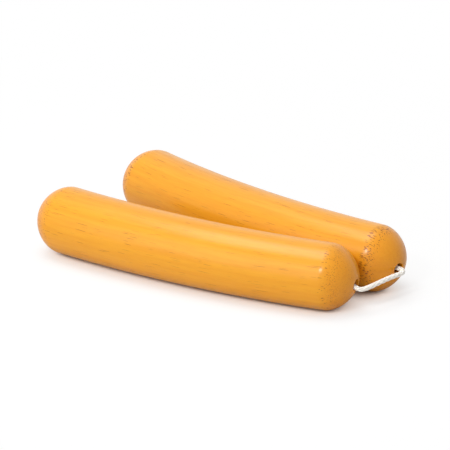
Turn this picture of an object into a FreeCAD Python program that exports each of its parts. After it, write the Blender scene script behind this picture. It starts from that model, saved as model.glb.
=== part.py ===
import FreeCAD, Part
import math
import os

# A pair of claves: two gently bowed round sticks with domed ends, lying in a V, joined tip to tip
# by a short limp cord. Each end of the cord goes into a blind bore in a near tip, where a stopper
# knot holds it. Millimetres, +Z up. The floor is z = 0 and the origin is the middle of the ground
# that the two sticks cover. Both bows lie level, so a stick rests on the floor along its whole arc.

# the sticks
STICK_DIAMETER = 38.0
BEND_RADIUS = 542.0       # radius of the bowed axis
BARREL_LENGTH = 169.3     # along the bowed axis, between the shoulders of the two domes
DOME_HEIGHT = 17.3
DOME_ROUNDNESS = 1.765    # exponent of the dome's outline: 2 is an ellipse, less is more pointed

# the blind bore in each near tip
BORE_DIAMETER = 6.5
BORE_DEPTH = 25.0
BORE_DROP = 2.5           # below the stick's axis
FRONT_BORE_ASIDE = 0.7    # to the right of the axis, looking out of the tip
REAR_BORE_ASIDE = 2.2
MOUTH_ROUNDING = 0.8
DRILL_POINT_ANGLE = 118.0

# the cord and its stopper knots
CORD_DIAMETER = 2.5
KNOT_CLEARANCE = 0.05     # radial, in the bore
KNOT_LENGTH = 8.0
KNOT_ROUNDING = 1.5
KNOT_TO_BORE_END = 2.0
CORD_START_DEPTH = 5.0    # below the mouth, where the free cord meets the knot's tail
CORD_STRAIGHT = 2.8       # of the free cord that lies in line with the bore there
BEND_SHARE = 0.45         # of the shorter run beside it that each bend of the cord takes up

# where the sticks lie: the front one's near shoulder, the rear one's bearing and clearance from
# there, and how far each near tip points from +X towards -Y, degrees
FRONT_SHOULDER = (59.52, -70.69)
REAR_BEARING = 46.83
STICK_CLEARANCE = 0.62    # more than a diameter between the near shoulders, to keep the sides apart
FRONT_HEADING = 21.5
REAR_HEADING = 33.77

# the free cord's route from the front bore to the rear bore, chosen by hand
CORD_ROUTE = [
    (75.6, -78.6, 15.4),
    (78.3, -78.65, 14.7),
    (81.4, -77.25, 15.0),
    (86.3, -72.85, 15.6),
    (92.5, -66.5, 16.1),
    (97.7, -61.5, 16.3),
    (100.4, -58.9, 16.3),
    (101.0, -56.7, 16.4),
    (100.3, -54.5, 16.5),
]
TWIST_RUN = 5             # the run of that route whose middle parts the cord's two lengths

UP = FreeCAD.Vector(0, 0, 1)
RADIUS = STICK_DIAMETER / 2
CORD_BEND_DEPTH = CORD_START_DEPTH - CORD_STRAIGHT


def dome_along(away):
    """How far a dome stands out past its shoulder, at that distance from the stick's axis."""
    share = (abs(away) / RADIUS) ** DOME_ROUNDNESS
    return DOME_HEIGHT * (1 - share) ** (1 / DOME_ROUNDNESS)


def dome_fall(away):
    """The angle by which the dome's surface has turned from square to the axis, in radians."""
    share = (abs(away) / RADIUS) ** DOME_ROUNDNESS
    return math.atan(DOME_HEIGHT * share / away * (1 - share) ** (1 / DOME_ROUNDNESS - 1))


class Stick:
    """Where one stick lies: its bend's centre, its shoulders, and its bore's mouth and way out."""

    def __init__(self, near_shoulder, heading, bore_aside):
        turn = math.degrees(BARREL_LENGTH / BEND_RADIUS)
        self.near_shoulder = near_shoulder
        self.near_way = direction(-heading)
        self.turn = turn
        self.far_angle = -heading - 90 - turn
        self.centre = near_shoulder + UP.cross(self.near_way) * BEND_RADIUS
        self.far_shoulder = self.centre + direction(self.far_angle) * BEND_RADIUS
        self.far_way = -direction(-heading - turn)
        bore_offset = self.near_way.cross(UP) * bore_aside - UP * BORE_DROP
        self.bore_away = bore_offset.Length
        self.mouth_fall = dome_fall(self.bore_away)
        self.mouth = near_shoulder + self.near_way * dome_along(self.bore_away) + bore_offset
        outward = bore_offset / self.bore_away
        self.bore_way = self.near_way * math.cos(self.mouth_fall) + outward * math.sin(self.mouth_fall)

    def rim_below_mouth(self):
        """How far the dome has fallen at the bore's wall, and its slope there, both on average."""
        bore_radius = BORE_DIAMETER / 2
        away = self.bore_away
        slope = math.tan(self.mouth_fall)
        level = dome_along(away)
        falls = [
            (level - slope * step - dome_along(away + step)) * math.cos(self.mouth_fall)
            for step in (-bore_radius, bore_radius)
        ]
        turns = [
            dome_fall(away + bore_radius) - self.mouth_fall,
            self.mouth_fall - dome_fall(away - bore_radius),
        ]
        return sum(falls) / 2, sum(turns) / 2


def direction(degrees):
    """The level unit vector at that angle from +X towards +Y."""
    angle = math.radians(degrees)
    return FreeCAD.Vector(math.cos(angle), math.sin(angle), 0)


def spin_solid(edges, base, way):
    """The solid that an outline in the (away from axis, along axis) plane sweeps round an axis."""
    flat = Part.Face(Part.Wire(edges))
    solid = flat.revolve(FreeCAD.Vector(0, 0, 0), UP, 360)
    solid.Placement = FreeCAD.Placement(base, FreeCAD.Rotation(UP, way))
    return solid


def outline_point(away, along):
    """A point of such an outline."""
    return FreeCAD.Vector(away, 0, along)


def make_dome(base, way):
    """One domed end: a superellipse turned about the stick's axis, on the shoulder's circle."""
    steps = 12
    points = []
    for step in range(steps + 1):
        angle = math.pi / 2 * step / steps
        away = RADIUS * max(math.cos(angle), 0.0) ** (2 / DOME_ROUNDNESS)
        along = DOME_HEIGHT * math.sin(angle) ** (2 / DOME_ROUNDNESS)
        points.append(outline_point(away if step < steps else 0.0, along))
    curve = Part.BSplineCurve()
    curve.interpolate(
        Points=points, InitialTangent=outline_point(0, 1), FinalTangent=outline_point(-1, 0)
    )
    edges = [
        curve.toShape(),
        Part.makeLine(points[-1], outline_point(0, 0)),
        Part.makeLine(outline_point(0, 0), points[0]),
    ]
    return spin_solid(edges, base, way)


def make_barrel(stick):
    """The bowed round stretch between the shoulders: part of a torus."""
    start = FreeCAD.Rotation(UP, stick.far_angle)
    barrel = Part.makeTorus(BEND_RADIUS, RADIUS, FreeCAD.Vector(), UP, 0, 360, stick.turn)
    barrel.Placement = FreeCAD.Placement(stick.centre, start)
    return barrel


def make_bore(stick):
    """What the drill takes out of the near tip, point and all, and what rounds the mouth.

    The rounding is an arc that is tangent to the bore's wall and to the dome beside the mouth.
    """
    bore_radius = BORE_DIAMETER / 2
    point_depth = bore_radius / math.tan(math.radians(DRILL_POINT_ANGLE / 2))
    outside = DOME_HEIGHT / 2
    rim_depth, fall = stick.rim_below_mouth()
    arc_away = bore_radius + MOUTH_ROUNDING
    arc_along = -rim_depth - MOUTH_ROUNDING * (1 + math.sin(fall)) / math.cos(fall)
    arc_ends = []
    for angle in (math.pi, (3 * math.pi / 2 - fall) / 2, math.pi / 2 - fall):
        away = arc_away + MOUTH_ROUNDING * math.cos(angle)
        arc_ends.append(outline_point(away, arc_along + MOUTH_ROUNDING * math.sin(angle)))
    flare_end = arc_ends[-1] + outline_point(outside, outside)
    corners = [
        arc_ends[-1],
        flare_end,
        outline_point(0, flare_end.z),
        outline_point(0, -BORE_DEPTH - point_depth),
        outline_point(bore_radius, -BORE_DEPTH),
        arc_ends[0],
    ]
    edges = Part.makePolygon(corners).Edges + [Part.Arc(*arc_ends).toShape()]
    return spin_solid(edges, stick.mouth, stick.bore_way)


def make_clave(stick):
    """One whole stick: barrel, two domes, and the bore with its rounded mouth."""
    near_dome = make_dome(stick.near_shoulder, stick.near_way)
    far_dome = make_dome(stick.far_shoulder, stick.far_way)
    whole = make_barrel(stick).fuse([near_dome, far_dome])
    return whole.cut(make_bore(stick)).Solids[0]


def make_knot(stick):
    """The stopper knot deep in the bore, as a barrel, with the tail that runs out to the free cord."""
    knot_radius = BORE_DIAMETER / 2 - KNOT_CLEARANCE
    knot_end = BORE_DEPTH - KNOT_TO_BORE_END
    knot_start = knot_end - KNOT_LENGTH
    into = -stick.bore_way
    knot = Part.makeCylinder(knot_radius, KNOT_LENGTH, stick.mouth + into * knot_start, into)
    rims = [edge for edge in knot.Edges if isinstance(edge.Curve, Part.Circle)]
    knot = knot.makeFillet(KNOT_ROUNDING, rims)
    tail_length = knot_start + KNOT_ROUNDING - CORD_START_DEPTH
    tail_start = stick.mouth + into * CORD_START_DEPTH
    tail = Part.makeCylinder(CORD_DIAMETER / 2, tail_length, tail_start, into)
    return knot.fuse(tail)


def cord_points(front, rear):
    """Every point of the free cord's route, from its start in one bore to its end in the other."""
    ends = [
        [stick.mouth - stick.bore_way * depth for depth in (CORD_START_DEPTH, CORD_BEND_DEPTH)]
        for stick in (front, rear)
    ]
    points = ends[0] + [FreeCAD.Vector(*point) for point in CORD_ROUTE] + ends[1][::-1]
    print("cord route:", "  ".join(f"({p.x:.2f}, {p.y:.2f}, {p.z:.2f})" for p in points))
    return points


def cord_edges(points):
    """Straight runs joined by tangent arcs, as (edge, run number) pairs. It prints each arc's radius."""
    edges = []
    start = points[0]
    radii = []
    for number in range(1, len(points) - 1):
        before = points[number] - points[number - 1]
        after = points[number + 1] - points[number]
        half_turn = before.getAngle(after) / 2
        cut = BEND_SHARE * min(before.Length, after.Length)
        radius = cut / math.tan(half_turn)
        radii.append(radius)
        way_in = FreeCAD.Vector(before).normalize()
        way_out = FreeCAD.Vector(after).normalize()
        arc_start = points[number] - way_in * cut
        arc_end = points[number] + way_out * cut
        inward = (way_out - way_in).normalize()
        bulge = radius / math.cos(half_turn) - radius
        edges.append((Part.LineSegment(start, arc_start).toShape(), number - 1))
        arc_middle = points[number] + inward * bulge
        edges.append((Part.Arc(arc_start, arc_middle, arc_end).toShape(), None))
        start = arc_end
    edges.append((Part.LineSegment(start, points[-1]).toShape(), len(points) - 2))
    print("cord radii:", " ".join(f"{radius:.1f}" for radius in radii))
    return edges


def split_edges(edges, run):
    """The same edges as two lists, parted at the middle of one straight run."""
    position = [number for _, number in edges].index(run)
    line = edges[position][0]
    start, end = (vertex.Point for vertex in line.Vertexes)
    middle = (start + end) / 2
    before = [edge for edge, _ in edges[:position]] + [Part.LineSegment(start, middle).toShape()]
    after = [Part.LineSegment(middle, end).toShape()] + [edge for edge, _ in edges[position + 1:]]
    return before, after


def make_tube(edges, name):
    """A round tube along those edges. It prints the volume beside section times length."""
    path = Part.Wire(edges)
    start = edges[0].Vertexes[0].Point
    way = edges[0].Vertexes[1].Point - start
    section = Part.Wire([Part.makeCircle(CORD_DIAMETER / 2, start, way)])
    tube = path.makePipeShell([section], True, False)
    expected = math.pi * (CORD_DIAMETER / 2) ** 2 * path.Length
    print(f"{name}: length {path.Length:.2f}, volume {tube.Volume:.2f}, expected {expected:.2f}")
    return tube


def write(name, shape):
    """One STEP file for one node."""
    if not shape.isValid():
        raise ValueError(f"{name} is not a valid shape")
    shape.exportStep(f"parts/{name}.step")


def main():
    """Makes every piece and writes it."""
    os.makedirs("parts", exist_ok=True)
    front_shoulder = FreeCAD.Vector(*FRONT_SHOULDER, RADIUS)
    shoulder_spread = direction(REAR_BEARING) * (STICK_DIAMETER + STICK_CLEARANCE)
    sticks = {
        "front": Stick(front_shoulder, FRONT_HEADING, FRONT_BORE_ASIDE),
        "rear": Stick(front_shoulder + shoulder_spread, REAR_HEADING, REAR_BORE_ASIDE),
    }
    for name, stick in sticks.items():
        write(f"{name}_clave", make_clave(stick))
        write(f"{name}_knot", make_knot(stick))
    edges = cord_edges(cord_points(sticks["front"], sticks["rear"]))
    front_half, rear_half = split_edges(edges, TWIST_RUN)
    write("front_cord_half", make_tube(front_half, "front half of the cord"))
    write("rear_cord_half", make_tube(rear_half, "rear half of the cord"))


main()
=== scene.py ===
"""A pair of claves on a pale floor: two bowed, domed beech sticks joined tip to tip by a limp cord.

Everything is in metres, +Z up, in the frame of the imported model. Each stick is one closed surface
with its blind bore in it, the braided cord is two lengths that meet in the middle of its free
stretch, and a wound stopper knot holds each end of it at the bottom of a bore.
"""

import logging
import math
from dataclasses import dataclass, field
from enum import Enum

import bpy
import numpy as np
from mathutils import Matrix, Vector

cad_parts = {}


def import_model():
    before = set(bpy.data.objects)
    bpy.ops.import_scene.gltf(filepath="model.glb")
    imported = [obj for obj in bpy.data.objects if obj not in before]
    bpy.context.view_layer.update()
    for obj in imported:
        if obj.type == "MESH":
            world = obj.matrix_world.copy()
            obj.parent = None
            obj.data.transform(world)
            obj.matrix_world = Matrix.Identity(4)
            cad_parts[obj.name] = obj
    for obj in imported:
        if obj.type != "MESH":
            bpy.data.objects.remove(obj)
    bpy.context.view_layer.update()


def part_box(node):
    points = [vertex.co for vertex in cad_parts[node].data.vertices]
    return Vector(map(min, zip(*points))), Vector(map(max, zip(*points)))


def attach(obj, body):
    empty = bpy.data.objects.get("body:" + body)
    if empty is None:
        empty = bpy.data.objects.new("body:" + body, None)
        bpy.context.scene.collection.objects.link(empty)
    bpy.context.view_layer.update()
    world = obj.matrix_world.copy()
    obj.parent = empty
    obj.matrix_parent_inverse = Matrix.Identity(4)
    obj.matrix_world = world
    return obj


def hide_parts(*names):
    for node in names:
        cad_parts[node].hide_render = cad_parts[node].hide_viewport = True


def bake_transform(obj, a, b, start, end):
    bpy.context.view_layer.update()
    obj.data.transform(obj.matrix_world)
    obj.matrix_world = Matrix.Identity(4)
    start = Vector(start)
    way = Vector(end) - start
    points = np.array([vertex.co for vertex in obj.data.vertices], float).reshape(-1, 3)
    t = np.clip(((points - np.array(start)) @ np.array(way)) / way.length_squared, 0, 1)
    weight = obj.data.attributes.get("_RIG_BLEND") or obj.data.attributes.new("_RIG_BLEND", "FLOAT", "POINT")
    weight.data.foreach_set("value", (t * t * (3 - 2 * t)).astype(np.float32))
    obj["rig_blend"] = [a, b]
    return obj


LOG = logging.getLogger("claves")
TURN = 2 * math.pi
MM_PER_METRE = 1000.0

Socket = bpy.types.NodeSocket
Triple = tuple[float, float, float]
Span = tuple[float, float]


class Body(Enum):
    """The bodies of the model that the pieces ride on."""

    FRONT_STICK = "front_stick"
    FRONT_CORD = "front_cord"
    REAR_CORD = "rear_cord"
    REAR_STICK = "rear_stick"


class Slot(Enum):
    """The record's material slots that the pieces take their finish from."""

    WOOD = "stained_wood"
    CORD = "cord_braid"


class Side(Enum):
    """Which of the two sticks a piece belongs to."""

    FRONT = "front"
    REAR = "rear"


# ---------------------------------------------------------------- meshes


def level_direction(angle: np.ndarray | float) -> np.ndarray:
    """The level unit vector at each angle from +X towards +Y.

    Args:
        angle: radians, of any shape.

    Returns:
        The vectors, with a last axis of three numbers.
    """
    angle = np.asarray(angle, float)
    return np.stack([np.cos(angle), np.sin(angle), np.zeros_like(angle)], axis=-1)


def unit(vectors: np.ndarray) -> np.ndarray:
    """The same vectors at length one."""
    return vectors / np.linalg.norm(vectors, axis=-1, keepdims=True)


@dataclass
class Surface:
    """One closed surface: rings of points in order, with a pole before and after them.

    Every ring has as many points, numbered so that turning along a ring and then stepping to the
    next ring is right-handed about the outward normal.
    """

    rings: np.ndarray
    first_pole: np.ndarray
    last_pole: np.ndarray
    attributes: dict[str, np.ndarray] = field(default_factory=dict)

    def points(self) -> np.ndarray:
        """All the points: the rings one after another, then the two poles."""
        return np.vstack([self.rings.reshape(-1, 3), self.first_pole, self.last_pole])

    def faces(self) -> tuple[np.ndarray, np.ndarray]:
        """The faces as point numbers.

        A quad joins points j and j + 1 of ring i to those of ring i + 1, and a fan of triangles
        closes each end.

        Returns:
            The quads (n, 4) and the triangles (m, 3).
        """
        count, around = self.rings.shape[:2]
        this = np.arange(around)
        after = (this + 1) % around
        row = np.arange(count - 1)[:, None] * around
        quads = np.stack([row + this, row + after, row + around + after, row + around + this], -1)
        first = np.full(around, count * around)
        last = first + 1
        end = (count - 1) * around
        fans = np.vstack(
            [np.stack([first, after, this], 1), np.stack([last, end + this, end + after], 1)]
        )
        return quads.reshape(-1, 4), fans


def rings_round(line: np.ndarray, turn: np.ndarray) -> np.ndarray:
    """The ways out from each point of a line, square to it.

    Args:
        line: the line's points (n, 3).
        turn: the angles round it in turns (m), from its level side towards up.

    Returns:
        The unit vectors (n, m, 3).
    """
    way = unit(np.gradient(line, axis=0))
    side = unit(np.cross([0.0, 0.0, 1.0], way))
    over = np.cross(way, side)
    return (
        np.cos(TURN * turn)[None, :, None] * side[:, None]
        + np.sin(TURN * turn)[None, :, None] * over[:, None]
    )


def make_object(name: str, surfaces: list[Surface]) -> bpy.types.Object:
    """One smooth mesh object, at the origin, of one or more closed surfaces.

    Args:
        name: the piece's name.
        surfaces: the closed surfaces, which all carry the same attributes.

    Returns:
        The object, linked to the scene.
    """
    points = [surface.points() for surface in surfaces]
    starts = np.cumsum([0] + [len(part) for part in points])
    faces = [surface.faces() for surface in surfaces]
    quads = np.vstack([quad + start for (quad, _), start in zip(faces, starts)])
    fans = np.vstack([fan + start for (_, fan), start in zip(faces, starts)])
    mesh = bpy.data.meshes.new(name)
    mesh.vertices.add(starts[-1])
    mesh.vertices.foreach_set("co", np.vstack(points).astype(np.float32).ravel())
    corners = np.concatenate([quads.ravel(), fans.ravel()])
    loop_starts = np.concatenate(
        [np.arange(len(quads)) * 4, len(quads) * 4 + np.arange(len(fans)) * 3]
    )
    mesh.loops.add(len(corners))
    mesh.loops.foreach_set("vertex_index", corners.astype(np.int32))
    mesh.polygons.add(len(loop_starts))
    mesh.polygons.foreach_set("loop_start", loop_starts.astype(np.int32))
    mesh.update(calc_edges=True)
    mesh.validate()
    mesh.shade_smooth()
    for key in surfaces[0].attributes:
        values = np.concatenate([surface.attributes[key] for surface in surfaces])
        kind, slot = ("FLOAT_VECTOR", "vector") if values.ndim == 2 else ("FLOAT", "value")
        attribute = mesh.attributes.new(key, kind, "POINT")
        attribute.data.foreach_set(slot, values.astype(np.float32).ravel())
    made = bpy.data.objects.new(name, mesh)
    bpy.context.scene.collection.objects.link(made)
    return made


def keep_rims_sharp(made: bpy.types.Object, rim_points: np.ndarray) -> None:
    """Parts the shading along the edges between the given points, as round a cut end.

    Args:
        made: the mesh object.
        rim_points: the numbers of the points on the rims.
    """
    mesh = made.data
    ends = np.zeros(len(mesh.edges) * 2, np.int32)
    mesh.edges.foreach_get("vertices", ends)
    on_rim = np.zeros(len(mesh.vertices), bool)
    on_rim[rim_points] = True
    sharp = on_rim[ends.reshape(-1, 2)].all(axis=1)
    attribute = mesh.attributes.new("sharp_edge", "BOOLEAN", "EDGE")
    attribute.data.foreach_set("value", sharp)


# ---------------------------------------------------------------- finishes


class NodeTree:
    """A short way to write a material's or world's nodes."""

    def __init__(self, tree: bpy.types.NodeTree) -> None:
        """Starts from an empty tree.

        Args:
            tree: the tree to fill.
        """
        self.tree = tree
        tree.nodes.clear()

    def add(self, kind: str, settings: dict | None = None, **inputs: object) -> bpy.types.Node:
        """Adds one node.

        Args:
            kind: the node's type, without the ShaderNode before it.
            settings: the node's own settings.
            inputs: the values or sockets for its inputs, with _ for a space in a name, or
                in0, in1 and so on for an input by its number.

        Returns:
            The node.
        """
        node = self.tree.nodes.new("ShaderNode" + kind)
        for key, value in (settings or {}).items():
            setattr(node, key, value)
        for key, value in inputs.items():
            place = int(key[2:]) if key[:2] == "in" and key[2:].isdigit() else key.replace("_", " ")
            socket = node.inputs[place]
            if isinstance(value, Socket):
                self.tree.links.new(value, socket)
            else:
                socket.default_value = value
        return node

    def math(self, operation: str, first: object, second: object = 0.0) -> Socket:
        """A sum of two numbers or sockets."""
        return self.add("Math", {"operation": operation}, in0=first, in1=second).outputs[0]

    def scaled(self, vector: object, scale: Triple) -> Socket:
        """A vector times a scale along each of its axes."""
        node = self.add("VectorMath", {"operation": "MULTIPLY"}, in0=vector, in1=scale)
        return node.outputs[0]

    def ranged(
        self,
        value: object,
        low: float,
        high: float,
        to_low: float = 0.0,
        to_high: float = 1.0,
    ) -> Socket:
        """A smooth step: to_low below low, to_high above high, and an S-shaped rise between."""
        node = self.add(
            "MapRange",
            {"interpolation_type": "SMOOTHSTEP"},
            Value=value,
            From_Min=low,
            From_Max=high,
            To_Min=to_low,
            To_Max=to_high,
        )
        return node.outputs[0]

    def mixed(self, share: object, first: object, second: object, way: str = "MIX") -> object:
        """Two colours mixed by a share, in one of the blend types."""
        node = self.add("Mix", {"data_type": "RGBA", "blend_type": way}, in0=share)
        for place, value in ((6, first), (7, second)):
            if isinstance(value, Socket):
                self.tree.links.new(value, node.inputs[place])
            else:
                node.inputs[place].default_value = value
        return node.outputs[2]


def background_rays(tree: NodeTree) -> tuple[Socket, Socket]:
    """Which rays are to see the white background.

    Args:
        tree: the tree to add to.

    Returns:
        1 for a camera ray, and 1 for a camera, glossy or transmission ray.
    """
    rays = tree.add("LightPath")
    camera = rays.outputs["Is Camera Ray"]
    shown = tree.math("MAXIMUM", camera, rays.outputs["Is Glossy Ray"])
    return camera, tree.math("MAXIMUM", shown, rays.outputs["Is Transmission Ray"])


def new_material(name: str) -> tuple[bpy.types.Material, NodeTree]:
    """A material with an empty node tree."""
    material = bpy.data.materials.new(name)
    material.use_nodes = True
    return material, NodeTree(material.node_tree)


Colour = tuple[float, float, float, float]
WHITE: Colour = (1, 1, 1, 1)


@dataclass(frozen=True)
class StainedBeech:
    """Turned beech, stained orange and varnished.

    It is a solid pattern in the stick's own straightened axes, in millimetres, so that it runs
    along the bowed sides as thin dashes and comes out on the domes as dots. A scale is how many
    features fit in a millimetre, along and across the grain. A span is where a smooth step
    starts and ends, in the noise or in how squarely the surface cuts the grain.
    """

    pale: Colour = (0.820, 0.362, 0.016, 1)
    deep: Colour = (0.780, 0.314, 0.011, 1)
    # the domes' darker colour: partly end grain soaking up stain, partly painted shade
    soaked_and_shaded: Colour = (0.822, 0.280, 0.006, 1)
    # painted shade: the dark brown deep in the bore stands in for the shade that falls there
    painted_bore_shade: Colour = (0.230, 0.085, 0.020, 1)
    fleck: Colour = (0.290, 0.068, 0.003, 1)
    # darker domes, partly end grain soaking up stain and partly painted shade: where it starts, and how much
    # of it
    soaked_and_shaded_span: Span = (0.02, 0.70)
    soaked_and_shaded_share: float = 0.50
    bore_shade_span: Span = (1.05, 1.90)
    # how the grain sways sideways, and by how much
    sway_scale: Triple = (0.02, 0.05, 0.05)
    sway_reach: Triple = (0.0, 3.0, 3.0)
    # growth rings, round a pith off to one side of the stick
    pith: tuple[float, float] = (62.0, -40.0)
    ring_width: float = 3.1
    ring_share: float = 0.20
    streak_scale: Triple = (0.020, 0.55, 0.55)
    streak_span: Span = (0.32, 0.68)
    streak_share: float = 0.80
    vessel_scale: Triple = (0.14, 3.6, 3.6)
    vessel_span: Span = (0.52, 0.72)
    vessel_share: float = 0.10
    # flecks: dashes on the sides, wider and deeper dots on the slant of the domes
    fleck_scale: Triple = (0.062, 1.85, 1.85)
    slant_span: Span = (0.02, 0.13)
    tip_span: Span = (0.50, 0.76)
    tip_slant: float = 0.08
    dash_reach: float = 0.31
    dot_reach: float = 0.54
    fleck_edge: float = 0.05
    dash_span: Span = (0.40, 0.60)
    dash_depths: Span = (0.30, 0.62)
    dot_deepening: float = 0.36
    # the varnish
    fleck_relief: float = -0.4
    vessel_relief: float = 0.25
    bump_strength: float = 0.30
    bump_height: float = 0.0001
    roughness_span: Span = (0.3, 0.7)
    roughnesses: Span = (0.37, 0.43)
    specular: float = 0.16
    coat: float = 0.48
    coat_roughness: float = 0.23
    coat_index: float = 1.5

    def make(self) -> bpy.types.Material:
        """Builds the material.

        Returns:
            The material.
        """
        material, tree = new_material("stained_beech")
        place = self.swayed_place(tree)
        streaks = self.drawn_out_noise(tree, place, self.streak_scale, 3.0)
        vessels = self.drawn_out_noise(tree, place, self.vessel_scale, 2.0)
        endness = tree.add("Attribute", {"attribute_name": "endness"}).outputs["Fac"]
        slant = tree.math(
            "MULTIPLY",
            tree.ranged(endness, *self.slant_span),
            tree.ranged(endness, *self.tip_span, 1.0, self.tip_slant),
        )
        flecks = self.flecks(tree, place, slant)

        share = tree.math("MULTIPLY", tree.ranged(streaks, *self.streak_span), self.streak_share)
        rings = tree.math("MULTIPLY", self.growth_rings(tree, place), self.ring_share)
        body = tree.mixed(tree.math("ADD", share, rings), self.pale, self.deep)
        # the domes darken: partly end-grain stain, partly painted shade
        soaking_and_shading = tree.ranged(endness, *self.soaked_and_shaded_span, 0.0, self.soaked_and_shaded_share)
        body = tree.mixed(soaking_and_shading, body, self.soaked_and_shaded)
        share = tree.math("MULTIPLY", tree.ranged(vessels, *self.vessel_span), self.vessel_share)
        body = tree.mixed(share, body, self.fleck)
        dash_depth = tree.ranged(streaks, *self.dash_span, *self.dash_depths)
        depth = tree.math("ADD", tree.math("MULTIPLY", slant, self.dot_deepening), dash_depth)
        body = tree.mixed(tree.math("MULTIPLY", flecks, depth), body, self.fleck)
        # painted shade, deepening down into the bore
        body = tree.mixed(tree.ranged(endness, *self.bore_shade_span), body, self.painted_bore_shade)

        relief = tree.math("MULTIPLY", flecks, self.fleck_relief)
        relief = tree.math("ADD", relief, tree.math("MULTIPLY", vessels, self.vessel_relief))
        bump = tree.add(
            "Bump", Strength=self.bump_strength, Distance=self.bump_height, Height=relief
        )
        shader = tree.add(
            "BsdfPrincipled",
            Base_Color=body,
            Roughness=tree.ranged(streaks, *self.roughness_span, *self.roughnesses),
            Normal=bump.outputs[0],
        )
        shader.inputs["Specular IOR Level"].default_value = self.specular
        shader.inputs["Coat Weight"].default_value = self.coat
        shader.inputs["Coat Roughness"].default_value = self.coat_roughness
        shader.inputs["Coat IOR"].default_value = self.coat_index
        tree.add("OutputMaterial", Surface=shader.outputs[0])
        return material

    def swayed_place(self, tree: NodeTree) -> Socket:
        """The place in the log in millimetres, with the grain made to sway slowly sideways."""
        grain = tree.add("Attribute", {"attribute_name": "grain"}).outputs["Vector"]
        place = tree.scaled(grain, (MM_PER_METRE,) * 3)
        slow = tree.scaled(place, self.sway_scale)
        sway = tree.add("TexNoise", Vector=slow, Scale=1.0, Detail=2.0).outputs["Color"]
        drift = tree.add(
            "VectorMath", {"operation": "SUBTRACT"}, in0=sway, in1=(0.5, 0.5, 0.5)
        ).outputs[0]
        drift = tree.scaled(drift, self.sway_reach)
        return tree.add("VectorMath", {"operation": "ADD"}, in0=place, in1=drift).outputs[0]

    def growth_rings(self, tree: NodeTree, place: Socket) -> Socket:
        """Growth rings: a sine of the distance from a pith far to one side of the stick."""
        parts = tree.add("SeparateXYZ", Vector=place)
        across = tree.math("SUBTRACT", parts.outputs["Y"], self.pith[0])
        upward = tree.math("SUBTRACT", parts.outputs["Z"], self.pith[1])
        squares = tree.math(
            "ADD", tree.math("POWER", across, 2.0), tree.math("POWER", upward, 2.0)
        )
        turns = tree.math("MULTIPLY", tree.math("SQRT", squares), TURN / self.ring_width)
        return tree.ranged(tree.math("SINE", turns), -1.0, 1.0)

    def drawn_out_noise(
        self,
        tree: NodeTree,
        place: Socket,
        scale: Triple,
        detail: float,
    ) -> Socket:
        """Noise drawn out along the grain.

        Args:
            tree: the tree to add to.
            place: the place in the log.
            scale: how many of the noise's features fit in a millimetre, along and across.
            detail: how many finer layers it has.

        Returns:
            The noise, from 0 to 1.
        """
        return tree.add(
            "TexNoise",
            Vector=tree.scaled(place, scale),
            Scale=1.0,
            Detail=detail,
            Roughness=0.55,
        ).outputs["Fac"]

    def flecks(self, tree: NodeTree, place: Socket, slant: Socket) -> Socket:
        """Flecks: the middles of random cells drawn out along the grain, each of its own size.

        Args:
            tree: the tree to add to.
            place: the place in the log.
            slant: how far the surface cuts the grain at a slant, where the flecks are wider.

        Returns:
            1 in a fleck and 0 outside.
        """
        cells = tree.add(
            "TexVoronoi",
            {"feature": "F1"},
            Vector=tree.scaled(place, self.fleck_scale),
            Scale=1.0,
            Randomness=1.0,
        )
        lot = tree.add("SeparateColor", Color=cells.outputs["Color"]).outputs[0]
        most = tree.ranged(slant, 0.0, 1.0, self.dash_reach, self.dot_reach)
        reach = tree.math("MULTIPLY", lot, most)
        inside = tree.math("SUBTRACT", reach, cells.outputs["Distance"])
        return tree.ranged(inside, 0.0, self.fleck_edge)


@dataclass(frozen=True)
class BraidedCotton:
    """Off-white cotton yarn. Its fibres run along each strand of the braid."""

    pale: Colour = (0.980, 0.945, 0.880, 1)
    shaded: Colour = (0.90, 0.84, 0.75, 1)
    fibre_scale: Triple = (9.0, 1.1, 5.0)
    fibre_span: Span = (0.35, 0.7)
    fibre_share: float = 0.35
    crown_span: Span = (0.0, 0.55)
    # how much shade is painted into the braid's grooves
    groove_shade_share: float = 0.45

    def make(self) -> bpy.types.Material:
        """Builds the material: fine noise drawn out along the strand, with painted shade in the braid's
        grooves, so that it is paler on its crown.

        Returns:
            The material.
        """
        material, tree = new_material("braided_cotton")
        yarn = tree.add("Attribute", {"attribute_name": "yarn"}).outputs["Vector"]
        crown = tree.add("Attribute", {"attribute_name": "crown"}).outputs["Fac"]
        fibres = tree.add(
            "TexNoise",
            Vector=tree.scaled(yarn, self.fibre_scale),
            Scale=1.0,
            Detail=3.0,
            Roughness=0.65,
        ).outputs["Fac"]
        share = tree.math("MULTIPLY", tree.ranged(fibres, *self.fibre_span), self.fibre_share)
        # painted shade in the braid's grooves, where the crown is low
        painted_groove_shade = tree.ranged(crown, *self.crown_span, self.groove_shade_share, 0.0)
        share = tree.math("ADD", share, painted_groove_shade)
        colour = tree.mixed(share, self.pale, self.shaded)
        bump = tree.add("Bump", Strength=0.5, Distance=0.0001, Height=fibres)
        shader = tree.add(
            "BsdfPrincipled", Base_Color=colour, Roughness=0.92, Normal=bump.outputs[0]
        )
        shader.inputs["Sheen Weight"].default_value = 0.25
        shader.inputs["Sheen Roughness"].default_value = 0.5
        tree.add("OutputMaterial", Surface=shader.outputs[0])
        return material


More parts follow.
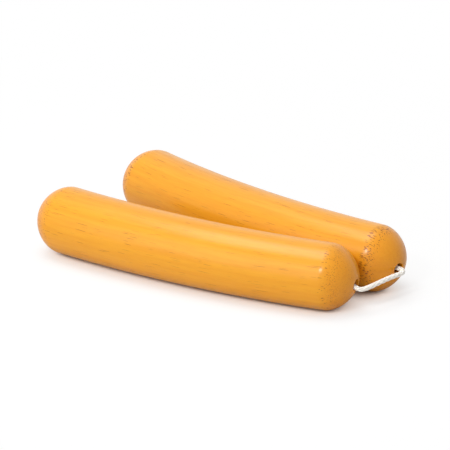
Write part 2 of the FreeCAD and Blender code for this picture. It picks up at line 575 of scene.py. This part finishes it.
@dataclass(frozen=True)
class PaleFloor:
    """A matt white floor that shows the sticks' shadow, lightened and warmed near them by a painted glow,
    and is plain white further out.

    A span is where a smooth step starts and ends, in the share of open sky over the floor.
    """

    albedo: Colour = (0.92, 0.912, 0.908, 1)
    bounce: Colour = (0.70, 0.69, 0.68, 1)
    # how much the painted glow lifts the floor's shade, near the sticks and in the open
    near_lift: float = 0.62
    near_span: Span = (0.09, 0.25)
    open_lift: float = 0.28
    open_span: Span = (0.36, 0.97)
    # painted warm bounce light from the orange sticks, where the floor is tucked in
    painted_bounce_tint: Colour = (1.0, 0.80, 0.68, 1)
    bounce_tint_span: Span = (0.05, 0.60)
    tucked_reach: float = 0.05
    clear_from: float = 0.16
    clear_at: float = 0.34

    def make(self) -> bpy.types.Material:
        """Builds the material.

        A camera ray sees the lit floor mixed with a painted glow that lightens the sticks' shadow,
        with painted warm bounce light where the floor is tucked in under the sticks and white in
        the open. Every other ray meets a plain matt floor. Beyond a distance from the middle,
        camera, glossy and transmission rays see pure white.

        Returns:
            The material.
        """
        material, tree = new_material("pale_floor")
        place = tree.add("TexCoord").outputs["Object"]
        far = tree.add("VectorMath", {"operation": "LENGTH"}, in0=place).outputs["Value"]
        clear = tree.ranged(far, self.clear_from, self.clear_at)
        matt = tree.add("BsdfDiffuse", Color=self.albedo).outputs[0]
        shut_in = tree.add("AmbientOcclusion", {"samples": 12}, Distance=self.tucked_reach)
        openness = shut_in.outputs["AO"]
        # painted warm bounce light in the shade near the sticks, white in the open
        bounce_tint = tree.mixed(tree.ranged(openness, *self.bounce_tint_span), self.painted_bounce_tint, WHITE)
        glow = tree.add("Emission", Color=bounce_tint, Strength=1.0).outputs[0]
        lift = tree.math(
            "ADD",
            tree.ranged(openness, *self.near_span, 0.0, self.near_lift),
            tree.ranged(openness, *self.open_span, 0.0, self.open_lift),
        )
        lifted = tree.add("MixShader", in0=lift, in1=matt, in2=glow).outputs[0]
        plain = tree.add("BsdfDiffuse", Color=self.bounce).outputs[0]
        camera, shown = background_rays(tree)
        near = tree.add("MixShader", in0=camera, in1=plain, in2=lifted).outputs[0]
        shown = tree.math("MULTIPLY", shown, clear)
        white = tree.add("Emission", Color=WHITE, Strength=1.0).outputs[0]
        surface = tree.add("MixShader", in0=shown, in1=near, in2=white)
        tree.add("OutputMaterial", Surface=surface.outputs[0])
        return material


# ---------------------------------------------------------------- the sticks


@dataclass(frozen=True)
class StickSizes:
    """The measures that both sticks share."""

    radius: float = 0.019
    bend_radius: float = 0.542
    barrel_length: float = 0.1693
    dome_height: float = 0.0173
    dome_roundness: float = 1.765
    bore_radius: float = 0.00325
    bore_depth: float = 0.025
    bore_drop: float = 0.0025
    mouth_rounding: float = 0.0008
    drill_point_angle: float = math.radians(118)
    # how deep into the bore the painted shade reaches its darkest
    bore_shade_depth: float = 0.005

    def dome_along(self, away: np.ndarray | float) -> np.ndarray:
        """How far a dome stands out past its shoulder, at a distance from the stick's axis.

        It is a superellipse: the share of the radius and the share of the height, each to the
        power of the roundness, add up to one.
        """
        share = (np.abs(away) / self.radius) ** self.dome_roundness
        return self.dome_height * np.maximum(1 - share, 0) ** (1 / self.dome_roundness)

    def dome_endness(self, away: np.ndarray) -> np.ndarray:
        """How squarely the dome's surface cuts the grain: 0 at the shoulder and 1 at the tip.

        It is the normal's share along the axis, from the superellipse's gradient.
        """
        power = self.dome_roundness - 1
        along = (self.dome_along(away) / self.dome_height) ** power / self.dome_height
        outward = (np.abs(away) / self.radius) ** power / self.radius
        return along / np.hypot(along, outward)

    def dome_fall(self, away: float) -> float:
        """The slope of the dome at a distance from the stick's axis, in radians from square."""
        step = 1e-6
        near = self.dome_along(away - step)
        far = self.dome_along(away + step)
        return math.atan(float(near - far) / (2 * step))


@dataclass
class Clave:
    """One stick: a bowed barrel between two domes, with a blind bore in its near tip.

    Its own axes are: first along the axis from the near shoulder towards the near tip, second
    level to the left of that, third up.
    """

    side: Side
    body: Body
    near_shoulder: Triple
    heading: float
    bore_aside: float
    grain_roll: float
    grain_shift: Triple
    sizes: StickSizes = field(default_factory=StickSizes)
    around: int = 192
    far_rings: int = 44
    barrel_rings: int = 140
    near_rings: int = 60
    mouth_rings: int = 9
    bore_rings: int = 14

    @property
    def node(self) -> str:
        """The node that the stick stands for."""
        return f"{self.side.value}_clave"

    def to_world(self, local: np.ndarray) -> np.ndarray:
        """Places points of the stick's own axes in the row frame.

        Along the barrel the axis turns at a steady rate about the bend's centre, which lies to
        the left, and past either shoulder it runs on straight.

        Args:
            local: points with a last axis of three numbers.

        Returns:
            The points in the row frame.
        """
        sizes = self.sizes
        along, left, up = np.moveaxis(np.asarray(local, float), -1, 0)
        bent = np.clip(along, -sizes.barrel_length, 0)
        angle = bent / sizes.bend_radius - self.heading
        tangent = level_direction(angle)
        leftward = level_direction(angle + math.pi / 2)
        shoulder = np.array(self.near_shoulder)
        centre = shoulder + level_direction(math.pi / 2 - self.heading) * sizes.bend_radius
        world = centre + (along - bent)[..., None] * tangent
        world = world + (left - sizes.bend_radius)[..., None] * leftward
        world[..., 2] = shoulder[2] + up
        return world

    def bore_frame(self) -> tuple[np.ndarray, np.ndarray, np.ndarray, np.ndarray]:
        """The bore's mouth, its way out, and its left and its upward side, in the stick's axes.

        The bore is square to the dome where its axis meets it, a little below the stick's axis
        and to the right of it.
        """
        sizes = self.sizes
        offset = np.array([0.0, -self.bore_aside, -sizes.bore_drop])
        away = float(np.linalg.norm(offset))
        fall = sizes.dome_fall(away)
        mouth = offset + np.array([float(sizes.dome_along(away)), 0.0, 0.0])
        way = math.sin(fall) * offset / away + np.array([math.cos(fall), 0.0, 0.0])
        left = unit(np.cross([0.0, 0.0, 1.0], way))
        return mouth, way, left, np.cross(way, left)

    def bore_points(self, away: np.ndarray, height: np.ndarray) -> np.ndarray:
        """Points round the bore's axis.

        Args:
            away: the distance from the bore's axis.
            height: the height above the mouth, along the axis, negative inside.

        Returns:
            Points in the stick's own axes, one for each of the angles round.
        """
        mouth, way, left, upward = self.bore_frame()
        turn = self.angles()
        out = np.cos(turn)[:, None] * left + np.sin(turn)[:, None] * upward
        return mouth + height[..., None] * way + away[..., None] * out

    def angles(self) -> np.ndarray:
        """The angle of each point of a ring, from the left towards up."""
        return np.linspace(0, TURN, self.around, endpoint=False)

    def dome_over_bore(self, away: float) -> np.ndarray:
        """How high the dome lies above the mouth at a distance from the bore's axis.

        The height is corrected by what the point still lacks to the dome, a few times over, which
        settles at once because the dome is nearly square to the bore.

        Args:
            away: the distance from the bore's axis.

        Returns:
            The height at each angle.
        """
        height = np.zeros(self.around)
        for _ in range(12):
            point = self.bore_points(np.full(self.around, away), height)
            lack = point[:, 0] - self.sizes.dome_along(np.hypot(point[:, 1], point[:, 2]))
            height -= lack
        return height

    def rings(self) -> tuple[np.ndarray, np.ndarray]:
        """All the rings from the far tip to the bottom of the bore.

        The far dome and the barrel are circles. On the near dome each ring is a mix of the
        shoulder's circle and the bore's rim, lifted onto the dome. The rounded mouth is a
        quadratic curve that leaves along the dome and ends along the bore's wall.

        Returns:
            The rings in the stick's own axes (n, around, 3), and how squarely each point's
            surface cuts the grain (n, around), which goes on from 1 to 2 down into the bore,
            where the wood's finish uses it to paint shade into the bore.
        """
        sizes = self.sizes
        turn = self.angles()
        circle = np.stack([np.cos(turn), np.sin(turn)], -1)
        power = 2 / sizes.dome_roundness

        lean = np.linspace(math.pi / 2, 0, self.far_rings + 1)[1:, None]
        away = sizes.radius * np.cos(lean) ** power * np.ones(self.around)
        along = -sizes.barrel_length - sizes.dome_height * np.sin(lean) ** power
        far = np.stack([along * np.ones(self.around), away * circle[:, 0], away * circle[:, 1]], -1)
        far_end = sizes.dome_endness(away)

        along = np.linspace(-sizes.barrel_length, 0, self.barrel_rings + 1)[1:, None, None]
        disc = np.broadcast_to(sizes.radius * circle, (self.barrel_rings, self.around, 2))
        barrel = np.concatenate([along * np.ones((1, self.around, 1)), disc], -1)
        barrel_end = np.zeros(barrel.shape[:2])

        rim_away = sizes.bore_radius + sizes.mouth_rounding
        rim = self.bore_points(np.full(self.around, rim_away), self.dome_over_bore(rim_away))
        last_lean = math.acos((rim_away / sizes.radius) ** (1 / power))
        lean = np.linspace(0, last_lean, self.near_rings + 1)[1:]
        share = (1 - np.cos(lean) ** power) / (1 - rim_away / sizes.radius)
        share = share[:, None, None]
        flat = (1 - share) * sizes.radius * circle + share * rim[:, 1:]
        away = np.hypot(flat[..., 0], flat[..., 1])
        near = np.concatenate([sizes.dome_along(away)[..., None], flat], -1)
        near_end = sizes.dome_endness(away)

        wall = np.full(self.around, sizes.bore_radius)
        corner_height = self.dome_over_bore(sizes.bore_radius)
        corner = self.bore_points(wall, corner_height)
        inner = self.bore_points(wall, corner_height - sizes.mouth_rounding)
        step = np.linspace(0, 1, self.mouth_rings + 1)[1:, None, None]
        mouth = (1 - step) ** 2 * rim + 2 * step * (1 - step) * corner + step**2 * inner
        mouth_end = near_end[-1] * (1 - step[..., 0]) + step[..., 0]

        step = np.linspace(0, 1, self.bore_rings + 1)[1:, None]
        height = (1 - step) * (corner_height - sizes.mouth_rounding) - step * sizes.bore_depth
        bore = self.bore_points(np.broadcast_to(wall, height.shape), height)
        # past the mouth this climbs from 1 to 2, which the wood's finish uses to paint shade down the bore
        bore_shading = 1 + np.clip(-height / sizes.bore_shade_depth, 0, 1)
        rings = np.concatenate([far, barrel, near, mouth, bore])
        ends = np.concatenate([far_end, barrel_end, near_end, mouth_end, bore_shading])
        return rings, ends

    def build(self, material: bpy.types.Material) -> bpy.types.Object:
        """Makes the stick, with its straightened axes kept as the grain's place.

        The grain's axes are the stick's own, turned about the axis and shifted in the log, so
        that the two sticks differ.

        Args:
            material: the wood's finish.

        Returns:
            The stick, riding on its body.
        """
        sizes = self.sizes
        rings, ends = self.rings()
        mouth, way, _, _ = self.bore_frame()
        point_depth = sizes.bore_radius / math.tan(sizes.drill_point_angle / 2)
        first = np.array([[-sizes.barrel_length - sizes.dome_height, 0.0, 0.0]])
        last = (mouth - way * (sizes.bore_depth + point_depth))[None]
        local = np.vstack([rings.reshape(-1, 3), first, last])
        cosine, sine = math.cos(self.grain_roll), math.sin(self.grain_roll)
        grain = local @ np.array([[1, 0, 0], [0, cosine, sine], [0, -sine, cosine]])
        grain = grain + np.array(self.grain_shift)
        surface = Surface(
            self.to_world(rings),
            self.to_world(first),
            self.to_world(last),
            {"grain": grain, "endness": np.concatenate([ends.ravel(), [1.0, 2.0]])},
        )
        made = make_object(f"{self.side.value}_stick_of_beech", [surface])
        made.data.materials.append(material)
        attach(made, self.body.value)
        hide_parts(self.node)
        return made


# ---------------------------------------------------------------- the cord


@dataclass(frozen=True)
class Braid:
    """A round braid of two families of strands that wind opposite ways, over one and under one."""

    radius: float = 0.00144
    relief: float = 0.00042
    lay: float = 0.0158
    strands_each_way: int = 4
    # how bluntly a strand's crest and its dips are rounded, and how high it stays in a dip
    crest_power: float = 0.55
    dip_power: float = 0.6
    dip_floor: float = 0.45

    def surface_heights(
        self, along: np.ndarray, turn: np.ndarray
    ) -> tuple[np.ndarray, np.ndarray, np.ndarray]:
        """The braid's relief.

        Each family counts its strands by the angle plus or minus the length over the lay. Where
        the two counts' whole parts add up to an even number the one family lies on top, and
        elsewhere the other does. The top strand is a half sine across, and it dips at both ends
        of its float, where it goes under.

        Args:
            along: the length along the cord.
            turn: the angle round it, in turns.

        Returns:
            The height from 0 to 1, the place across the top strand from 0 to 1, and the place
            along it in strand widths.
        """
        one = self.strands_each_way * (turn + along / self.lay)
        other = self.strands_each_way * (turn - along / self.lay)
        one_on_top = (np.floor(one) + np.floor(other)) % 2 == 0
        across = np.where(one_on_top, one, other)
        running = np.where(one_on_top, other, one)
        crest = np.sin(math.pi * (across - np.floor(across))) ** self.crest_power
        dip = np.sin(math.pi * (running - np.floor(running))) ** self.dip_power
        return crest * (self.dip_floor + (1 - self.dip_floor) * dip), across, running

    def tube(self, line: np.ndarray, along: np.ndarray, around: int) -> Surface:
        """The braid as a closed tube round a line.

        Args:
            line: the line's points.
            along: the length along the whole cord at each point, which places the pattern.
            around: how many points a ring has.

        Returns:
            The tube, with where each point lies on its strand.
        """
        turn = np.linspace(0, 1, around, endpoint=False)
        height, across, running = self.surface_heights(along[:, None], turn[None])
        away = self.radius - self.relief * (1 - height)
        rings = line[:, None] + away[..., None] * rings_round(line, turn)
        yarn = np.stack([across, running, np.floor(across)], -1).reshape(-1, 3)
        poles = np.zeros((2, 3))
        attributes = {
            "yarn": np.vstack([yarn, poles]),
            "crown": np.concatenate([height.ravel(), [0.5, 0.5]]),
        }
        return Surface(rings, line[:1], line[-1:], attributes)


@dataclass
class Cord:
    """The limp cord from bore to bore, in two lengths, and the stopper knot at each end."""

    diameter: float = 0.0025
    ring_step: float = 0.00010
    # how far each length stops short of the twist's plane, as a share of the ring step
    parting: float = 0.15
    around: int = 96
    knot_depth: float = 0.015
    knot_turns: int = 4
    knot_unwound: float = 0.35
    core_tail: float = 0.0011
    coil_rings: int = 420
    core_rings: int = 90
    coil_around: int = 28
    core_around: int = 36
    # the least square of a smooth tube's share of its radius, at its very tips
    tip_square: float = 0.0025
    knot_length: float = 0.0078
    knot_strand: float = 0.00097
    braid: Braid = field(default_factory=Braid)
    twist_middle: Triple = (0.0894, -0.069675, 0.01585)
    # the control points, as in the model's source, with those in and near the bores moved
    route: tuple[Triple, ...] = (
        (0.06706, -0.07389, 0.01821),
        (0.06973, -0.07511, 0.01764),
        (0.07345, -0.07860, 0.01605),
        (0.07610, -0.07955, 0.01480),
        (0.07880, -0.07845, 0.01435),
        (0.08220, -0.07620, 0.01485),
        (0.08630, -0.07285, 0.01560),
        (0.09250, -0.06650, 0.01610),
        (0.09740, -0.06160, 0.01620),
        (0.10030, -0.05880, 0.01620),
        (0.10080, -0.05660, 0.01640),
        (0.10000, -0.05460, 0.01660),
        (0.09730, -0.05230, 0.01695),
        (0.09440, -0.04969, 0.01757),
        (0.09224, -0.04767, 0.01811),
    )

    def centreline(self, sticks: dict[Side, Clave]) -> np.ndarray:
        """The cord's smooth line, from one knot to the other.

        It is a NURBS spline with the route's points as its control points, and one more point in
        each bore at the knot's start, read back as a line of points.

        Args:
            sticks: the two sticks, whose bores the cord goes into.

        Returns:
            The points, spaced as the rings are.
        """
        ends = {}
        for side, stick in sticks.items():
            mouth, way, _, _ = stick.bore_frame()
            ends[side] = stick.to_world((mouth - way * self.knot_depth)[None])
        points = np.vstack([ends[Side.FRONT], np.array(self.route), ends[Side.REAR]])
        curve = bpy.data.curves.new("cord_route", "CURVE")
        curve.dimensions = "3D"
        spline = curve.splines.new("NURBS")
        spline.points.add(len(points) - 1)
        spline.points.foreach_set("co", np.c_[points, np.ones(len(points))].ravel())
        spline.order_u = 3
        spline.use_endpoint_u = True
        spline.resolution_u = 48
        holder = bpy.data.objects.new("cord_route", curve)
        mesh = bpy.data.meshes.new_from_object(holder)
        line = np.zeros(len(mesh.vertices) * 3, np.float32)
        mesh.vertices.foreach_get("co", line)
        bpy.data.meshes.remove(mesh)
        bpy.data.curves.remove(curve)
        return self.spaced(line.reshape(-1, 3).astype(float))

    def spaced(self, line: np.ndarray) -> np.ndarray:
        """The same line with its points about a ring's step apart."""
        gaps = np.linalg.norm(np.diff(line, axis=0), axis=1)
        keep = np.concatenate([[True], gaps > 1e-9])
        line = line[keep]
        along = self.lengths(line)
        places = np.linspace(0, along[-1], round(along[-1] / self.ring_step) + 1)
        return np.stack([np.interp(places, along, line[:, axis]) for axis in range(3)], -1)

    @staticmethod
    def lengths(line: np.ndarray) -> np.ndarray:
        """The length along a line at each of its points."""
        return np.concatenate([[0], np.cumsum(np.linalg.norm(np.diff(line, axis=0), axis=1))])

    def build(self, material: bpy.types.Material, sticks: dict[Side, Clave]) -> None:
        """Args:
            material: the cord's finish.
            sticks: the two sticks, whose bores the cord goes into.
        """
        line = self.centreline(sticks)
        along = self.lengths(line)
        middle = int(np.linalg.norm(line - np.array(self.twist_middle), axis=1).argmin())
        pattern = along - along[middle]
        LOG.info(
            "cord: %.1f mm long, %.2f mm from the twist's middle",
            along[-1] * 1000,
            np.linalg.norm(line[middle] - np.array(self.twist_middle)) * 1000,
        )
        front, rear = line[: middle + 1].copy(), line[middle:].copy()
        front[-1] += (front[-2] - front[-1]) * self.parting
        rear[0] += (rear[1] - rear[0]) * self.parting
        halves = {Side.FRONT: (front, pattern[: middle + 1]), Side.REAR: (rear, pattern[middle:])}
        for side, (part, its_pattern) in halves.items():
            knot = self.build_knot(side, sticks[side], material)
            self.build_length(side, sticks[side], part, its_pattern, material)

    def build_length(
        self,
        side: Side,
        stick: Clave,
        line: np.ndarray,
        pattern: np.ndarray,
        material: bpy.types.Material,
    ) -> bpy.types.Object:
        """Makes one length of the cord, from its knot to the middle.

        Args:
            side: which stick it goes into.
            stick: that stick.
            line: the length's centreline.
            pattern: where each point lies along the whole cord's braid.
            material: the cord's finish.

        Returns:
            The length, bending between its two bodies.
        """
        surface = self.braid.tube(line, pattern, self.around)
        made = make_object(f"{side.value}_length_of_cord", [surface])
        first_rim = np.arange(self.around)
        last_rim = first_rim + (len(line) - 1) * self.around
        keep_rims_sharp(made, np.concatenate([first_rim, last_rim]))
        made.data.materials.append(material)
        mouth, way, _, _ = stick.bore_frame()
        exit_point = stick.to_world(mouth[None])[0]
        if side is Side.FRONT:
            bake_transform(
                made,
                Body.FRONT_STICK.value,
                Body.FRONT_CORD.value,
                start=(0.0745, -0.0787, 0.0155),
                end=(0.0830, -0.0758, 0.0150),
            )
        else:
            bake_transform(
                made,
                Body.REAR_CORD.value,
                Body.REAR_STICK.value,
                start=(0.0990, -0.0601, 0.0162),
                end=(0.0983, -0.0531, 0.0168),
            )
        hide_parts(f"{side.value}_cord_half")
        return made

    def build_knot(
        self, side: Side, stick: Clave, material: bpy.types.Material
    ) -> bpy.types.Object:
        """Makes one stopper knot: the cord's end, with turns of it wound tight round itself.

        The wound strand's line is a helix round the bore's axis, whose radius is half the cord
        plus half the squeezed strand.

        Args:
            side: which stick it is in.
            stick: that stick.
            material: the cord's finish.

        Returns:
            The knot, riding on the stick's body.
        """
        mouth, way, left, upward = stick.bore_frame()
        core_radius = 0.5 * self.diameter
        wound = core_radius + self.knot_strand
        turns = np.linspace(0, self.knot_turns - self.knot_unwound, self.coil_rings)
        depth = self.knot_depth + self.knot_strand
        depth = depth + (self.knot_length - 2 * self.knot_strand) * turns / turns[-1]
        coil = (
            mouth
            - depth[:, None] * way
            + wound * np.cos(TURN * turns)[:, None] * left
            + wound * np.sin(TURN * turns)[:, None] * upward
        )
        core_end = self.knot_depth + self.knot_length + self.core_tail
        core_depth = np.linspace(self.knot_depth, core_end, self.core_rings)
        core = mouth - core_depth[:, None] * way
        surfaces = [
            self.smooth_tube(stick.to_world(coil), self.knot_strand, self.coil_around),
            self.smooth_tube(stick.to_world(core), core_radius, self.core_around),
        ]
        made = make_object(f"{side.value}_stopper_knot", surfaces)
        made.data.materials.append(material)
        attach(made, stick.body.value)
        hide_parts(f"{side.value}_knot")
        return made

    def smooth_tube(self, line: np.ndarray, radius: float, around: int) -> Surface:
        """A tube with rounded ends, whose fibres run along it.

        Its radius falls off as a quarter circle over the last radius of length at each end.

        Args:
            line: the tube's centreline.
            radius: its radius.
            around: how many points a ring has.

        Returns:
            The tube.
        """
        along = self.lengths(line)
        to_end = np.minimum(along, along[-1] - along)
        short = np.clip(1 - to_end / radius, 0, 1)
        away = radius * np.sqrt(np.maximum(1 - short**2, self.tip_square))
        turn = np.linspace(0, 1, around, endpoint=False)
        rings = line[:, None] + away[:, None, None] * rings_round(line, turn)
        strands = turn[None] * self.braid.strands_each_way
        places = np.stack(
            np.broadcast_arrays(strands, along[:, None] / radius, np.zeros((1, 1))), -1
        )
        attributes = {
            "yarn": np.vstack([places.reshape(-1, 3), np.zeros((2, 3))]),
            "crown": np.ones(rings.shape[0] * around + 2),
        }
        return Surface(rings, line[:1], line[-1:], attributes)


# ---------------------------------------------------------------- the studio


@dataclass(frozen=True)
class Lamp:
    """One soft rectangular lamp that faces the sticks."""

    name: str
    place: Triple
    size: tuple[float, float]
    power: float


@dataclass
class Studio:
    """The floor, the lamps, the white surroundings and the camera."""

    target: Triple = (0.00193, 0.0072, 0.019)
    elevation: float = math.radians(21.45)
    distance: float = 10.0
    view_width: float = 0.2514
    floor_half: float = 12.0
    dim_ambient: float = 0.20
    bright_ambient: float = 0.60
    bright_way: Triple = (-0.80, -0.25, 0.55)
    facing_span: Span = (-0.8, 0.9)
    lamps: tuple[Lamp, ...] = (
        Lamp("overhead_lamp", (-0.20, 0.12, 1.15), (0.72, 0.72), 6.7),
        Lamp("left_lamp", (-1.0, -0.80, 0.62), (1.1, 1.0), 4.4),
        Lamp("front_lamp", (-0.38, -0.97, 0.85), (0.20, 0.20), 5.2),
    )

    def build(self) -> None:
        """Makes the whole studio."""
        self.build_floor()
        self.build_world()
        for lamp in self.lamps:
            self.build_lamp(lamp)
        self.build_camera()

    def build_floor(self) -> None:
        """Makes the floor at z = 0, a single square."""
        half = self.floor_half
        mesh = bpy.data.meshes.new("floor")
        corners = [(-half, -half, 0), (half, -half, 0), (half, half, 0), (-half, half, 0)]
        mesh.from_pydata(corners, [], [(0, 1, 2, 3)])
        mesh.materials.append(PaleFloor().make())
        floor = bpy.data.objects.new("floor", mesh)
        bpy.context.scene.collection.objects.link(floor)

    def build_world(self) -> None:
        """Makes surroundings that light softly, more from the left, and look white."""
        world = bpy.data.worlds.new("white_surroundings")
        world.use_nodes = True
        tree = NodeTree(world.node_tree)
        _, shown = background_rays(tree)
        toward = tree.add("TexCoord").outputs["Generated"]
        facing = tree.add(
            "VectorMath", {"operation": "DOT_PRODUCT"}, in0=toward, in1=self.bright_way
        ).outputs["Value"]
        ambient = tree.ranged(facing, *self.facing_span, self.dim_ambient, self.bright_ambient)
        lit = tree.add("Background", Color=WHITE, Strength=ambient).outputs[0]
        white = tree.add("Background", Color=WHITE, Strength=1.0).outputs[0]
        surface = tree.add("MixShader", in0=shown, in1=lit, in2=white)
        tree.add("OutputWorld", Surface=surface.outputs[0])
        bpy.context.scene.world = world

    def build_lamp(self, lamp: Lamp) -> None:
        """Makes one lamp, turned towards the middle of the sticks."""
        light = bpy.data.lights.new(lamp.name, "AREA")
        light.shape = "RECTANGLE"
        light.size, light.size_y = lamp.size
        light.energy = lamp.power
        made = bpy.data.objects.new(lamp.name, light)
        made.location = lamp.place
        towards = Vector(self.target) - Vector(lamp.place)
        made.rotation_euler = towards.to_track_quat("-Z", "Y").to_euler()
        made.visible_camera = False
        bpy.context.scene.collection.objects.link(made)

    def build_camera(self) -> None:
        """Makes the long-lens camera in front of the sticks, looking down on them."""
        camera = bpy.data.cameras.new("camera")
        camera.sensor_width = 36.0
        camera.lens = camera.sensor_width * self.distance / self.view_width
        camera.clip_start, camera.clip_end = 0.1, 100.0
        made = bpy.data.objects.new("camera", camera)
        back = Vector((0, -math.cos(self.elevation), math.sin(self.elevation)))
        made.location = Vector(self.target) + back * self.distance
        made.rotation_euler = (-back).to_track_quat("-Z", "Y").to_euler()
        bpy.context.scene.collection.objects.link(made)
        bpy.context.scene.camera = made
        bpy.context.scene.view_settings.view_transform = "Standard"


def main() -> None:
    """Builds the studio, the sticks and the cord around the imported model."""
    logging.basicConfig(level=logging.INFO, format="%(name)s: %(message)s")
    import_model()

    Studio().build()
    beech = StainedBeech().make()
    sticks = {
        Side.FRONT: Clave(
            Side.FRONT,
            Body.FRONT_STICK,
            near_shoulder=(0.05952, -0.07069, 0.019),
            heading=math.radians(21.5),
            bore_aside=0.0007,
            grain_roll=math.radians(15),
            grain_shift=(0.0, 0.0, 0.0),
        ),
        Side.REAR: Clave(
            Side.REAR,
            Body.REAR_STICK,
            near_shoulder=(0.085940, -0.042523, 0.019),
            heading=math.radians(33.77),
            bore_aside=0.0022,
            grain_roll=math.radians(-65),
            grain_shift=(0.43, 0.011, 0.006),
        ),
    }
    for stick in sticks.values():
        made = stick.build(beech)
        low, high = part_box(stick.node)
        own = np.array([made.bound_box[0], made.bound_box[6]])
        gap = np.abs(own - np.array([low, high])).max()
        faces = len(made.data.polygons)
        LOG.info("%s: %d faces, %.3f mm from its node's box", made.name, faces, gap * 1000)
    Cord().build(BraidedCotton().make(), sticks)


if __name__ == "__main__":
    main()
